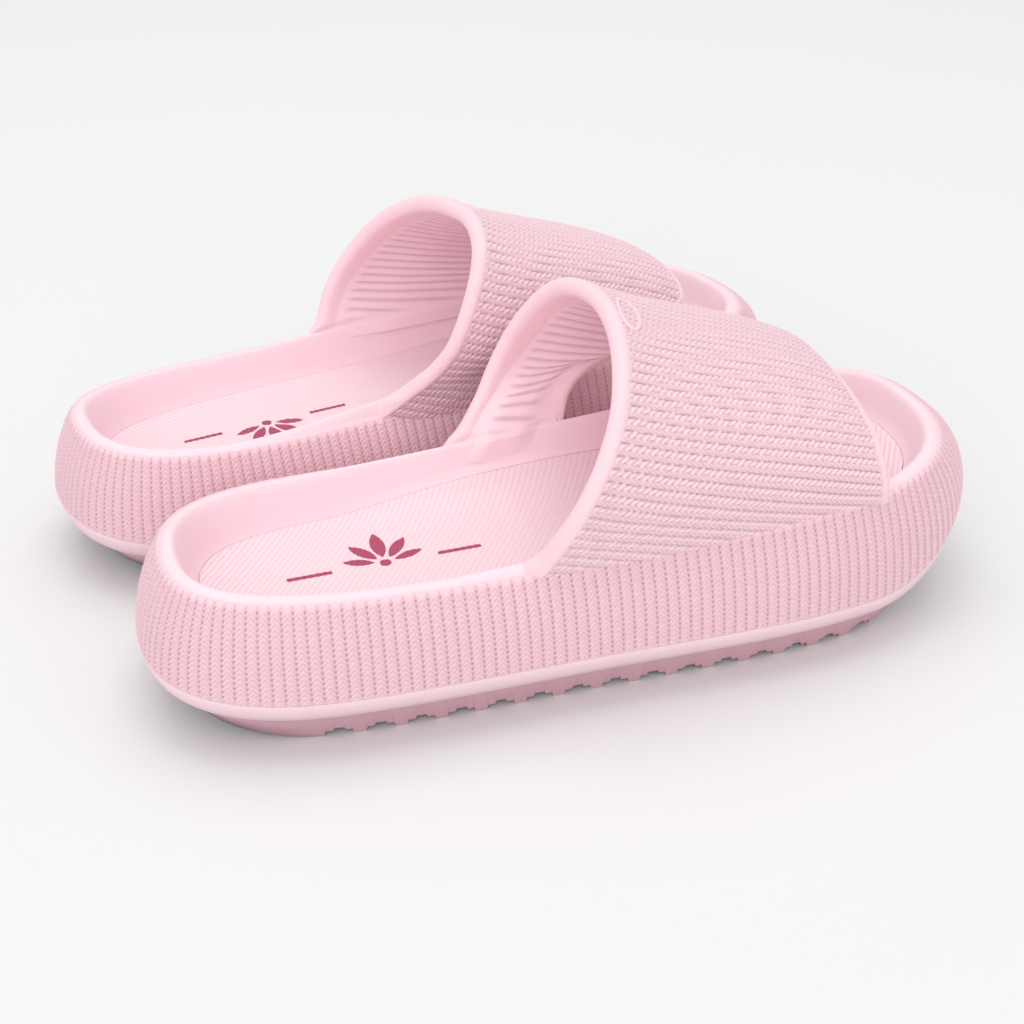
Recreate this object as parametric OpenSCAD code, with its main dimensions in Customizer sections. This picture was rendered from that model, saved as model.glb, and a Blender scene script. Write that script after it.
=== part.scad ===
// Pair of cushioned slide slippers: a right slipper along +Y and its mirrored left partner.
// Each slipper is drawn about its own middle, heel towards -Y, outer side towards +X, floor at z = 0.

/* [Sole outline] */
// Length of the sole outline, heel to toe
sole_l = 270; // [250:5:290]
// Roundness of the outline's ends, where 2 is an ellipse
outline_power = 2.34; // [2:0.02:2.8]
// Half width on the outer side at the heel
outer_heel_w = 55; // [50:0.5:58]
// Half width on the outer side at the waist
outer_waist_w = 52; // [48:0.5:56]
// Half width on the outer side at the ball of the foot
outer_ball_w = 62.5; // [58:0.5:66]
// Half width on the inner side at the heel
inner_heel_w = 48; // [44:0.5:52]
// Half width on the inner side at the waist
inner_waist_w = 39.5; // [36:0.5:44]
// Half width on the inner side at the ball of the foot
inner_ball_w = 52.5; // [48:0.5:56]
// How far the toe end leans to the inner side
toe_lean = 5.5; // [0:0.5:8]

/* [Sole heights] */
// Height of the line where the outsole meets the midsole
parting_z = 10.4; // [8:0.2:13]
// Height of the midsole's widest line, where its rounded lower edge ends
wide_z = 21; // [18:0.5:24]
// Height of the rim at the waist
rim_z = 47; // [43:0.5:52]
// Rise of the rim from heel to toe, linear part
rim_slope = 3.1; // [0:0.1:5]
// Rise of the rim at both ends, square part
rim_ends = 6.1; // [3:0.1:8]
// Extra height of the inner rim's crest, where it sweeps up into the strap
rim_shoulder = 6.8; // [0:0.2:8]
// Extra height of the outer rim's crest beside the strap
outer_shoulder = 2.4; // [0:0.2:3]
// Lift of the underside at the tip of the toe
toe_lift = 26; // [18:1:28]
// Lift of the underside at the back of the heel
heel_lift = 2.8; // [1:0.2:5]
// Distance from the middle at which the toe starts to lift
toe_lift_y = 85; // [78:1:95]
// Distance from the middle at which the heel starts to lift
heel_lift_y = 90; // [80:1:100]
// Extra rise of the tread's rolled edge at the back of the heel
heel_roll = 5; // [0:0.5:6]

/* [Sole wall] */
// Inset of the outsole's bottom edge
base_inset = 6.5; // [5:0.5:8]
// Inset of the parting line
parting_inset = 2.8; // [2:0.2:4]
// Outward bulge of the wall at its widest line
wall_bulge = 3.6; // [2:0.2:4.4]
// Inset of the outer edge of the smooth rim
rim_inset = 5.7; // [5:0.1:7]
// Height of the rounded rim above its outer edge
rim_round = 1; // [0.5:0.1:1.5]
// Inset of the footbed pad
pad_inset = 16; // [14:0.5:18]

/* [Footbed] */
// Height of the flat heel seat
seat_z = 34; // [31:0.5:38]
// Rise of the footbed from the heel seat to the toes
toe_rise = 10; // [6:0.5:12]
// Height of the arch support at the footbed's inner edge
arch_rise = 9.5; // [5:0.5:10]
// Height that the footbed's edge turns up
cup_rise = 1.2; // [0:0.1:2]
// Thickness of the footbed pad
pad_t = 2.5; // [2:0.1:4]

/* [Outsole tread] */
// Distance between the grooves across the tread
groove_pitch = 12.4; // [11:0.2:13]
// Width of a groove's wide lower step
groove_w = 8.4; // [7:0.2:9]
// Depth of a groove's wide lower step
groove_depth = 1.3; // [1:0.1:2]
// Width of a groove's narrow upper step
slot_w = 3.4; // [2:0.2:5]
// Depth of a groove at its narrow upper step
slot_depth = 2.3; // [2.1:0.1:4]
// Number of grooves
groove_count = 15; // [11:2:17]

/* [Strap] */
// Thickness of the outer shell of the strap
shell_t = 3.4; // [2.5:0.1:4]
// Thickness of the soft lining under the shell
lining_t = 2.1; // [1.5:0.1:3]
// Rise of the crest's middle above a straight line from collar to front edge
crest_bow = 0.4; // [0:0.2:3]
// Dip of the crest behind the collar, and its swell towards the toes
crest_wave = 5.5; // [0:0.5:8]
// Sideways swell of the strap's sides
side_swell = 2; // [0:0.5:3]
// Width of the smooth rolled collar along the rear edge
collar_w = 3.4; // [3:0.2:5]
// How far the collar stands proud of the strap on each side
collar_proud = 0.4; // [0.2:0.1:1]
// Width of the smooth trim along the front edge
trim_w = 3; // [2:0.2:4]

/* [Printed motif] */
// Where the motif sits on the heel seat
print_at = [6, -62];
// Thickness of the ink film
print_t = 0.4; // [0.3:0.1:0.8]
// Length of the middle petal
petal_l = 14; // [12:1:18]
// Distance of the petals from the motif's middle
petal_gap = 3.4; // [3:0.2:6]

/* [Pair] */
// Place of the left slipper's middle, seen from the right slipper's middle
left_at = [-103.8, -17.4];
// Turn of the left slipper, toes outward
left_yaw = 9.7; // [0:0.1:15]
// Shift that puts the pair's bounding box over the origin
pair_shift = [57.5, 8.7];

/* [Hidden] */
SIDES = ["right", "left"];
foam = [0.96, 0.80, 0.84];
foam_light = [0.99, 0.86, 0.89];
foam_shade = [0.86, 0.66, 0.71];
ink = [0.69, 0.27, 0.41];

half_l = sole_l / 2;
ring_steps = 60;
station = 0.6;          // heel and ball stations, as a share of the half length
cup_from = 0.8;         // where the footbed's edge starts to turn up, as a share of its reach
floor_scales = [cup_from, 0.5, 0.25];
strap_steps = 40;
width_steps = 6;
strap_t = shell_t + lining_t;

// The strap's rear edge from the outer side over the instep to the inner side.
STRAP_REAR = [
    [44.5, -27, 43], [47.2, -23, 49], [51.5, -15, 65], [47.5, -5, 81],
    [36.5, 3.8, 94.5], [16, 11, 105], [-9, 14.5, 107.8], [-28, 11, 105.5],
    [-39, 5.5, 97.5], [-45, -2, 84.5], [-46, -8.5, 72], [-42.5, -15, 62],
    [-37, -24, 53], [-33, -34, 45],
];
// The strap's front edge, cut back low along the inner side.
STRAP_FRONT = [
    [45.5, 88.5, 42], [47, 87.5, 50], [47.5, 86.5, 57], [43, 86.5, 64],
    [32, 88, 70.5], [12, 89, 76.5], [-12, 89.5, 78.5], [-30, 90, 75.5],
    [-41, 86, 70.5], [-46, 70, 68], [-46, 47, 67.5], [-43.5, 27, 66],
    [-39, 11.5, 58], [-35, 6, 42],
];

function sq(a) = a * a;
function unit(v) = v / norm(v);
function signed_pow(a, p) = sign(a) * pow(abs(a), p);

// A parabola through the heel, waist and ball half widths.
function half_width(y, heel, waist, ball) =
    let (s = y / (station * half_l))
    waist + (ball - heel) / 2 * s + ((ball + heel) / 2 - waist) * s * s;

// Outline point at angle t: 0 is the toe, 90 the outer side, 180 the heel.
function outline(t) =
    let (
        y = half_l * signed_pow(cos(t), 2 / outline_power),
        w = sin(t) >= 0
            ? half_width(y, outer_heel_w, outer_waist_w, outer_ball_w)
            : half_width(y, inner_heel_w, inner_waist_w, inner_ball_w),
        lean = -toe_lean * pow(y / half_l, 3)
    )
    [w * signed_pow(sin(t), 2 / outline_power) + lean, y];

// The outline moved inward by d.
function inset_point(t, d) =
    let (
        along = unit(outline(t + 2) - outline(t - 2)),
        outward = [-along[1], along[0]]
    )
    outline(t) - d * outward;

function lift(y) =
    toe_lift * sq(max(0, (y - toe_lift_y) / (half_l - toe_lift_y)))
    + heel_lift * sq(max(0, (-y - heel_lift_y) / (half_l - heel_lift_y)));
// Lift of the tread, whose back edge is rolled up more than the parting line.
function tread_lift(y) =
    lift(y) + heel_roll * sq(max(0, (-y - heel_lift_y) / (half_l - heel_lift_y)));
function rim_height(y) = rim_z + rim_slope * y / half_l + rim_ends * sq(y / half_l);
// Extra height of the rim's crest at angle t, long and high inside, short and low outside.
function shoulder(t) =
    let (y = outline(t)[1])
    sin(t) < 0
        ? rim_shoulder * sq(max(0, 1 - sq((y - 15) / 110)))
        : outer_shoulder * sq(max(0, 1 - sq(y / 60)));

// Top of the footbed: a flat heel seat, rising to the toes and at the inner arch.
function footbed_height(p, edge) =
    seat_z
    + toe_rise * sq(max(0, (p[1] + 25) / 140))
    + arch_rise * sq(max(0, 1 - sq((p[1] + 4) / 74))) * sq(max(0, (-p[0] - 4) / 20))
    + cup_rise * sq(max(0, edge - cup_from) / (1 - cup_from));

function ring_angles() = [for (i = [0 : ring_steps - 1]) i * 360 / ring_steps];

// The outsole's bottom edge and the rings across its bottom, shrunk by s about the middle.
function tread_ring(s) = [
    for (t = ring_angles())
        let (p = inset_point(t, base_inset) * s)
        [p[0], p[1], tread_lift(outline(t)[1] * s)]
];

// A ring round the sole at inset d, on the underside's lifted level z.
function low_ring(d, z) = [
    for (t = ring_angles())
        let (p = inset_point(t, d), y = outline(t)[1])
        [p[0], p[1], z + lift(y)]
];
// A ring on the wall, k = 0 at the widest line and 1 at the rim's outer edge.
function wall_ring(k) = [
    for (t = ring_angles())
        let (
            p = inset_point(t, -wall_bulge * (1 - k) + rim_inset * pow(k, 2.4)),
            y = outline(t)[1]
        )
        [p[0], p[1], (wide_z + lift(y)) * (1 - k) + rim_height(y) * k]
];
// A ring on the rounded rim, with a share of the shoulder's height.
function rim_ring(d, share) = [
    for (t = ring_angles())
        let (p = inset_point(t, d))
        [p[0], p[1], rim_height(outline(t)[1]) + rim_round + share * shoulder(t)]
];
// A ring on the bowl's slope, k = 0 at the rim and 1 at the pad's edge.
function bowl_ring(d, k) = [
    for (t = ring_angles())
        let (
            p = inset_point(t, d),
            edge = footbed_height(inset_point(t, pad_inset), 1),
            top = rim_height(outline(t)[1]) + rim_round + shoulder(t)
        )
        [p[0], p[1], top + (edge - top) * k]
];
// A ring on the footbed, shrunk by s about the middle and lowered by down.
function floor_ring(s, down) = [
    for (t = ring_angles())
        let (p = inset_point(t, pad_inset) * s)
        [p[0], p[1], footbed_height(p, s) - down]
];
// A ring across the underside, shrunk by s about the middle.
function under_ring(d, s, z) = [
    for (t = ring_angles())
        let (p = inset_point(t, d) * s)
        [p[0], p[1], z + lift(outline(t)[1] * s)]
];

// A Catmull-Rom curve through the points P, u running from 0 to 1.
function curve(P, u) =
    let (
        n = len(P) - 1,
        s = min(max(u, 0) * n, n - 0.0001),
        i = floor(s),
        f = s - i,
        a = i == 0 ? 2 * P[0] - P[1] : P[i - 1],
        b = P[i],
        c = P[i + 1],
        d = i + 2 > n ? 2 * P[n] - P[n - 1] : P[i + 2]
    )
    (2 * b + (c - a) * f + (2 * a - 5 * b + 4 * c - d) * f * f
        + (3 * b - a - 3 * c + d) * f * f * f) / 2;

// Outer face of the strap: u over the instep, v = 0 at the rear edge and 1 at the front.
function strap_face(u, v) =
    let (
        middle = 4 * v * (1 - v),
        bow = crest_bow + crest_wave * (v - 0.5),
        straight = curve(STRAP_REAR, u) * (1 - v) + curve(STRAP_FRONT, u) * v
    )
    straight + middle * [side_swell * pow(cos(180 * u), 3), 0, bow * sq(sin(180 * u))];
function strap_forward(u, v) = unit(strap_face(u, v + 0.02) - strap_face(u, v - 0.02));
function strap_across(u, v) =
    unit(strap_face(min(u + 0.01, 1), v) - strap_face(max(u - 0.01, 0), v));
function strap_normal(u, v) = unit(cross(strap_forward(u, v), strap_across(u, v)));
function strap_depth(u, v, d) = strap_face(u, v) - d * strap_normal(u, v);

// A strip of the strap between the depths a and b, one closed loop per step of u.
function strip_loops(a, b, v0, v1) = [
    for (i = [0 : strap_steps])
        let (u = i / strap_steps)
        [
            for (j = [0 : width_steps]) strap_depth(u, v0 + (v1 - v0) * j / width_steps, a),
            for (j = [width_steps : -1 : 0]) strap_depth(u, v0 + (v1 - v0) * j / width_steps, b),
        ]
];
// An edge bead: a profile of [outward along the edge, depth] pairs carried over the instep.
function bead_loops(v, way, profile) = [
    for (i = [0 : strap_steps])
        let (
            u = i / strap_steps,
            p = strap_face(u, v),
            out = way * strap_forward(u, v),
            n = strap_normal(u, v)
        )
        [for (q = profile) p + q[0] * out - q[1] * n]
];

function middle(loop) =
    let (n = len(loop))
    [for (k = [0 : 2]) [for (p = loop) p[k]] * [for (i = [1 : n]) 1 / n]];

// One closed skin over equal rings, with a pole inside the first and the last ring.
module skin(rings, first, last) {
    n = len(rings[0]);
    m = len(rings);
    polyhedron(
        points = [for (r = rings) each r, first, last],
        faces = [
            for (j = [0 : m - 2], i = [0 : n - 1])
                each [
                    [j * n + i, j * n + (i + 1) % n, (j + 1) * n + i],
                    [j * n + (i + 1) % n, (j + 1) * n + (i + 1) % n, (j + 1) * n + i],
                ],
            for (i = [0 : n - 1]) [m * n, (i + 1) % n, i],
            for (i = [0 : n - 1]) [m * n + 1, (m - 1) * n + i, (m - 1) * n + (i + 1) % n],
        ]
    );
}

// A skin over loops that run along the strap, closed at both feet.
module strip(loops) {
    skin(loops, middle(loops[0]), middle(loops[len(loops) - 1]));
}

module outsole() {
    color(foam_shade)
        difference() {
            skin(
                [
                    for (s = [0.3, 0.65, 0.8, 1]) tread_ring(s),
                    low_ring(parting_inset, parting_z),
                    for (s = [0.65, 0.3]) under_ring(parting_inset, s, parting_z),
                ],
                [0, 0, 0],
                [0, 0, parting_z]
            );
            for (i = [0 : groove_count - 1]) groove((i - (groove_count - 1) / 2) * groove_pitch);
        }
}

// One stepped groove straight across the tread, tilted with the lifted ends.
module groove(y) {
    tilt = atan((tread_lift(y + 1) - tread_lift(y - 1)) / 2);
    across = 2 * outer_ball_w + 20;
    translate([0, y, tread_lift(y)])
        rotate([tilt, 0, 0]) {
            cube([across, groove_w, 2 * groove_depth], center = true);
            cube([across, slot_w, 2 * slot_depth], center = true);
        }
}

module midsole() {
    color(foam)
        skin(
            [
                for (s = [0.3, 0.65]) under_ring(parting_inset, s, parting_z),
                low_ring(parting_inset, parting_z),
                low_ring(parting_inset - 3.6, parting_z + 2.6),
                low_ring(0.6 - wall_bulge, parting_z + 6.6),
                for (k = [0, 0.3, 0.6, 0.85, 1]) wall_ring(k),
                rim_ring(rim_inset + 1.8, 0.3),
                rim_ring(rim_inset + 4.2, 0.9),
                bowl_ring(rim_inset + 5.5, 0.36),
                bowl_ring(rim_inset + 8, 0.82),
                floor_ring(1, 0),
                floor_ring(1, pad_t),
                for (s = floor_scales) floor_ring(s, pad_t),
            ],
            [0, 0, parting_z],
            [0, 0, footbed_height([0, 0], 0) - pad_t]
        );
}

module footbed() {
    color(foam_light)
        skin(
            [
                for (i = [len(floor_scales) - 1 : -1 : 0]) floor_ring(floor_scales[i], pad_t),
                floor_ring(1, pad_t),
                floor_ring(1, 0),
                for (s = floor_scales) floor_ring(s, 0),
            ],
            [0, 0, footbed_height([0, 0], 0) - pad_t],
            [0, 0, footbed_height([0, 0], 0)]
        );
}

module strap() {
    color(foam) strip(strip_loops(0, shell_t, 0, 1));
}

module lining() {
    color(foam_shade) strip(strip_loops(shell_t, strap_t, 0, 1));
}

module collar() {
    a = -collar_proud;
    b = strap_t + collar_proud;
    m = strap_t / 2;
    color(foam_light)
        strip(bead_loops(0, -1, [
            [0, b], [collar_w * 0.5, b - 0.1], [collar_w * 0.87, b - 1.5],
            [collar_w, m], [collar_w * 0.87, a + 1.5], [collar_w * 0.5, a + 0.1], [0, a],
        ]));
}

module front_trim() {
    m = strap_t / 2;
    color(foam_light)
        strip(bead_loops(1, 1, [
            [0, 0], [trim_w * 0.6, 0.4], [trim_w, m], [trim_w * 0.6, strap_t - 0.4], [0, strap_t],
        ]));
}

// A petal: the common part of two equal discs, pointing along -X and clear of the middle.
module petal(length, angle) {
    r = length * 0.85;
    off = sqrt(sq(r) - sq(length / 2));
    rotate(angle)
        translate([-petal_gap - length / 2, 0])
            intersection() {
                translate([0, off]) circle(r = r, $fn = 64);
                translate([0, -off]) circle(r = r, $fn = 64);
            }
}

// A five-petal water lily between two bars, as a generic spa motif.
module print_film() {
    color(ink)
        translate([print_at[0], print_at[1], seat_z])
            linear_extrude(print_t) {
                for (a = [-72, -36, 0, 36, 72]) petal(petal_l - abs(a) / 18, a);
                for (side = [-1, 1])
                    translate([0, side * 24]) square([1.6, 14], center = true);
                circle(r = 1.8, $fn = 48);
            }
}

module right_place() {
    translate([pair_shift[0], pair_shift[1], 0]) children();
}

module left_place() {
    translate([pair_shift[0] + left_at[0], pair_shift[1] + left_at[1], 0])
        rotate(left_yaw) mirror([1, 0, 0]) children();
}

right_place() outsole();  // right_outsole
right_place() midsole();  // right_midsole
right_place() footbed();  // right_footbed
right_place() strap();  // right_strap
right_place() lining();  // right_lining
right_place() collar();  // right_collar
right_place() front_trim();  // right_front_trim
right_place() print_film();  // right_print
left_place() outsole();  // left_outsole
left_place() midsole();  // left_midsole
left_place() footbed();  // left_footbed
left_place() strap();  // left_strap
left_place() lining();  // left_lining
left_place() collar();  // left_collar
left_place() front_trim();  // left_front_trim
left_place() print_film();  // left_print
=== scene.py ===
# %% [markdown]
# # A pair of cushioned spa slides
# The object is a right slide and its mirrored left partner, moulded in soft pink foam. A knit pattern
# is pressed into the side walls and a braid into the straps, and the rims, the rolled collars and the
# beads under the walls are smooth. This lesson builds one slide as a set of numpy surfaces, about its
# own middle and in millimetres, and sets it down twice, once mirrored. It could also be sculpted, but
# a knit is a rule that repeats, and a rule is shortest as a formula.

# %% Frame and tools
import math

import bpy
import numpy as np
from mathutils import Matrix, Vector


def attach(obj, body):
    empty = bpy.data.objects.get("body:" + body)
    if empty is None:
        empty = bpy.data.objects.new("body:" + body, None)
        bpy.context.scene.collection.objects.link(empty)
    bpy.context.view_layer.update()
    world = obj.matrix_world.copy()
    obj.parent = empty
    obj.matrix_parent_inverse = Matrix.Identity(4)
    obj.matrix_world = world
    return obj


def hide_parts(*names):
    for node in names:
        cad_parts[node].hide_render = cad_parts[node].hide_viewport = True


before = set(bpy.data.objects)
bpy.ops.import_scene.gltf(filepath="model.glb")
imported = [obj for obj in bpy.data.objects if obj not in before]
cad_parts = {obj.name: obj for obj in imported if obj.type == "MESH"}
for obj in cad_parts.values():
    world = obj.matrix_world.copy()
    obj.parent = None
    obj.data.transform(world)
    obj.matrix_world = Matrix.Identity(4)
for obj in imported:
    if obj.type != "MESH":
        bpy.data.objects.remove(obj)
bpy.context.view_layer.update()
MM = 0.001

# %% [markdown]
# ## The camera
# A 50 mm lens stands under half a metre from the pair, beside the right slide's heel and about a
# third of a right angle up. That close, the near slide's heel looms, so the distance matters as much
# as the direction. The camera is placed by its direction from a point low inside the near slide.

# %% Camera
RIGHT_AT = (57.5, 8.7)          # middle of the right slide, in millimetres
LEFT_OFFSET = (-103.8, -17.4)   # middle of the left slide, seen from the right one's
LEFT_YAW = math.radians(9.7)    # the left toes turn outward

camera_data = bpy.data.cameras.new("camera")
camera_data.lens = 50
camera_data.sensor_width = 36
camera = bpy.data.objects.new("camera", camera_data)
bpy.context.scene.collection.objects.link(camera)
bpy.context.scene.camera = camera

azimuth, elevation, distance = math.radians(71.01), math.radians(31.08), 456.2
back = Vector((
    math.sin(azimuth) * math.cos(elevation),
    -math.cos(azimuth) * math.cos(elevation),
    math.sin(elevation),
))
target = Vector((RIGHT_AT[0] - 0.8, RIGHT_AT[1] - 18.2, 40))
camera.location = (target + back * distance) * MM
camera.rotation_euler = (-back).to_track_quat("-Z", "Y").to_euler()
camera_data.clip_start = 0.01
print("camera", [round(v, 3) for v in camera.location])

# %% [markdown]
# ## The outline of the sole
# A slide's outline is a superellipse, rounder than a rectangle and squarer than an ellipse, whose half
# widths change from heel to waist to ball and differ between the outer and the inner side. One angle
# t runs round it: 0 is the toe, a quarter turn the outer side, half a turn the heel. Every ring of the
# sole is this outline moved inward by some distance, so the rings stay evenly spaced round the bends.

# %% Outline
HALF = 135.0                    # half the outline's length
POWER = 2.34                    # superellipse power
OUTER = (55.0, 52.0, 62.5)      # half widths at heel, waist and ball, outer side
INNER = (48.0, 39.5, 52.5)      # the same, inner side
STATION = 0.6 * HALF            # where heel and ball widths are measured
TOE_LEAN = 5.5


def signed_pow(a, p):
    """|a| to the power p, keeping a's sign."""
    return np.sign(a) * np.abs(a) ** p


def half_width(y, widths):
    """The parabola through the three half widths at -STATION, 0 and STATION."""
    heel, waist, ball = widths
    s = y / STATION
    return waist + (ball - heel) / 2 * s + ((ball + heel) / 2 - waist) * s * s


def outline(t):
    """y = HALF cos(t)^(2/POWER) and x = half width(y) sin(t)^(2/POWER), leaning in at the toe."""
    y = HALF * signed_pow(np.cos(t), 2 / POWER)
    w = np.where(np.sin(t) >= 0, half_width(y, OUTER), half_width(y, INNER))
    x = w * signed_pow(np.sin(t), 2 / POWER) - TOE_LEAN * (y / HALF) ** 3
    return np.stack([x, y], -1)


def inset(t, d):
    """The outline at t, moved inward by d along its own normal."""
    step = math.radians(2)
    along = outline(t + step) - outline(t - step)
    along /= np.linalg.norm(along, axis=-1, keepdims=True)
    outward = np.stack([-along[..., 1], along[..., 0]], -1)
    return outline(t) - np.asarray(d)[..., None] * outward


def even_angles(count, d):
    """Angles whose points lie evenly spaced round the ring at inset d, from the arc length's inverse."""
    t = np.linspace(0, 2 * np.pi, 6001)
    run = np.linalg.norm(np.diff(inset(t, np.full_like(t, d)), axis=0), axis=1)
    length = np.concatenate([[0], np.cumsum(run)])
    return np.interp(np.arange(count) / count * length[-1], length, t), length[-1]


_, girth = even_angles(8, -3.0)
print("outline", round(2 * HALF), "mm long, wall", round(girth), "mm round")

# %% [markdown]
# ## Heights along the sole
# The toe and the heel lift off the floor, the rim dips at the waist, and the footbed is flat under the
# heel, rises to the toes and swells into an arch support on the inner side.

# %% Heights
PARTING_Z, WIDE_Z = 10.4, 21.0
TOE_LIFT, HEEL_LIFT, HEEL_ROLL = 26.0, 2.8, 5.0
TOE_LIFT_Y, HEEL_LIFT_Y = 85.0, 90.0
BASE_INSET, PARTING_INSET, RIM_INSET, PAD_INSET = 6.5, 2.8, 5.7, 16.0
WALL_BULGE, RIM_ROUND, PAD_T = 3.6, 1.0, 2.5
RIM_Z, RIM_SLOPE, RIM_ENDS = 47.0, 3.1, 6.1          # height, slope to the toe, rise at both ends
SEAT_Z, TOE_RISE, ARCH_RISE = 34.0, 10.0, 9.5
CUP_FROM, CUP_RISE = 0.8, 1.2                        # the pad's edge turns up over its last fifth
INNER_SHOULDER, OUTER_SHOULDER = 6.8, 2.4            # how much the rim rises beside the strap


def lift(y):
    """Squares of how far y is past the toe's and the heel's lifting lines."""
    toe = np.clip((y - TOE_LIFT_Y) / (HALF - TOE_LIFT_Y), 0, None)
    heel = np.clip((-y - HEEL_LIFT_Y) / (HALF - HEEL_LIFT_Y), 0, None)
    return TOE_LIFT * toe**2 + HEEL_LIFT * heel**2


def tread_lift(y):
    """The lift of the tread, whose back edge is rolled up further by the square of the same share."""
    heel = np.clip((-y - HEEL_LIFT_Y) / (HALF - HEEL_LIFT_Y), 0, None)
    return lift(y) + HEEL_ROLL * heel**2


def rim_height(y):
    """A parabola along the sole, lowest near the waist."""
    return RIM_Z + RIM_SLOPE * y / HALF + RIM_ENDS * (y / HALF) ** 2


def shoulder(t):
    """How much higher the rim's crest stands beside the strap, long and high inside, short outside."""
    y = outline(t)[..., 1]
    inner = INNER_SHOULDER * np.clip(1 - ((y - 15) / 110) ** 2, 0, None) ** 2
    outer = OUTER_SHOULDER * np.clip(1 - (y / 60) ** 2, 0, None) ** 2
    return np.where(np.sin(t) < 0, inner, outer)


PAD_T_ANGLES = np.linspace(-np.pi, np.pi, 2881)
PAD_EDGE = inset(PAD_T_ANGLES, np.full_like(PAD_T_ANGLES, PAD_INSET))
PAD_BEARING = np.unwrap(np.arctan2(PAD_EDGE[:, 0], PAD_EDGE[:, 1]))
PAD_REACH = np.linalg.norm(PAD_EDGE, axis=1)


def edge_share(x, y):
    """Distance from the middle as a share of the pad's reach in that direction."""
    bearing = np.arctan2(x, y)
    return np.hypot(x, y) / np.interp(bearing, PAD_BEARING, PAD_REACH, period=2 * np.pi)


def footbed_height(x, y, share):
    """Flat seat + square rise to the toes + inner arch + turned-up edge."""
    toe = TOE_RISE * np.clip((y + 25) / 140, 0, None) ** 2
    along = np.clip(1 - ((y + 4) / 74) ** 2, 0, None) ** 2
    arch = ARCH_RISE * along * np.clip((-x - 4) / 20, 0, None) ** 2
    cup = CUP_RISE * (np.clip(share - CUP_FROM, 0, None) / (1 - CUP_FROM)) ** 2
    return SEAT_Z + toe + arch + cup


print("rim", RIM_Z, "mm high at the waist, bowl", round(RIM_Z - SEAT_Z), "mm deep")

# %% [markdown]
# ## Where the strap runs into the bowl
# The strap and the sole come out of one mould, so no edge shows where they meet: the strap's inside
# runs down into the bowl's slope in a hollow curve. A voxel remesh could melt the two together, but it
# would blunt the knit. Here each point of the strap's inner side is asked how far in it is from the
# outline and how far in the bowl's slope is at that height, and it moves to a rounded larger of the two.

# %% Cove
def smooth_max(a, b, soft):
    """The larger of two numbers, with the corner between them rounded over about soft."""
    return (a + b + np.sqrt((a - b) ** 2 + soft**2)) / 2


BOWL_INSETS = np.array([-20.0, 4.0, 5.3, 6.7, 8.2, 9.4, 10.3])   # inward of the rim's edge
BOWL_SHARES = np.array([-2.4, 0.0, 0.1, 0.4, 0.76, 0.94, 1.0])   # how far down to the footbed's edge
COVE_SOFT, COVE_PROUD, COVE_SINK = 6.5, 0.35, 0.8    # mm: roundness, and how proud of the slope
COVE_FROM, COVE_RUN = 2.6, 1.4                       # shares above the crest where the curve starts


def beside_bowl(points):
    """Inset of each point from the outline, the inset of the bowl's slope at its height, and inward."""
    t = np.linspace(-np.pi, np.pi, 901)
    line = outline(t)
    step = np.roll(line, -1, 0) - np.roll(line, 1, 0)
    flat = points[..., :2].reshape(-1, 2)
    near = np.concatenate([
        ((part[:, None] - line[None]) ** 2).sum(-1).argmin(1) for part in np.array_split(flat, 24)
    ])
    inward = np.stack([step[near, 1], -step[near, 0]], -1)
    inward *= np.sign(-np.einsum("ik,ik->i", inward, line[near]))[:, None]
    inward /= np.linalg.norm(inward, axis=1, keepdims=True)
    away = np.einsum("ik,ik->i", flat - line[near], inward)
    top = (rim_height(line[:, 1]) + RIM_ROUND + shoulder(t))[near]
    pad = inset(t, np.full_like(t, PAD_INSET))
    edge = footbed_height(pad[:, 0], pad[:, 1], 1.0)[near]
    share = (top - points[..., 2].ravel()) / (top - edge)
    slope = RIM_INSET + np.interp(share, BOWL_SHARES, BOWL_INSETS)
    shape = points.shape[:-1]
    return away.reshape(shape), slope.reshape(shape), inward.reshape(*shape, 2), share.reshape(shape)


def cove(points, dip):
    """How far points move inward in plan to follow the bowl's slope in one smooth hollow curve.

    The new inset is the smooth larger of the old inset and the slope's. Where dip is 1, it is just
    short of the slope's below the rim's crest, so that the piece ends under the sole's skin.
    """
    away, slope, inward, share = beside_bowl(points)
    down = np.clip(share, 0, 1)
    soft = 1 + COVE_SOFT * (1 - down) * (1 - 0.9 * dip)
    landed = smooth_max(away, slope + COVE_PROUD - COVE_SINK * down, soft)
    landed = away + (landed - away) * np.clip((share + COVE_FROM) / COVE_RUN, 0, 1)
    under = dip * np.clip((share + 0.12) / 0.15, 0, 1)
    landed = landed + (np.minimum(landed, slope - 0.4) - landed) * under
    return inward * (landed - away)[..., None], share


print("bowl slope", BOWL_INSETS[-1] - BOWL_INSETS[1], "mm wide")

# %% [markdown]
# ## From grids to meshes
# Every surface below is a grid of points. Rings follow one another along the grid's first direction
# and close on themselves along the second, and a pole closes each end, so that the mesh is one skin
# with no holes. Faces and the attribute of painted shade are computed as whole arrays. A signed volume
# tells whether the faces look out, and if not, they are turned round.

# %% Meshes
def skin_faces(m, n, looped):
    """Quads between m rings of n points. looped joins the last ring to the first."""
    j = np.arange(m if looped else m - 1)[:, None]
    i = np.arange(n)[None]
    a = j * n + i
    b = j * n + (i + 1) % n
    c = (j + 1) % m * n + (i + 1) % n
    d = (j + 1) % m * n + i
    return np.stack([a, b, c, d], -1).reshape(-1, 4)


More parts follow.
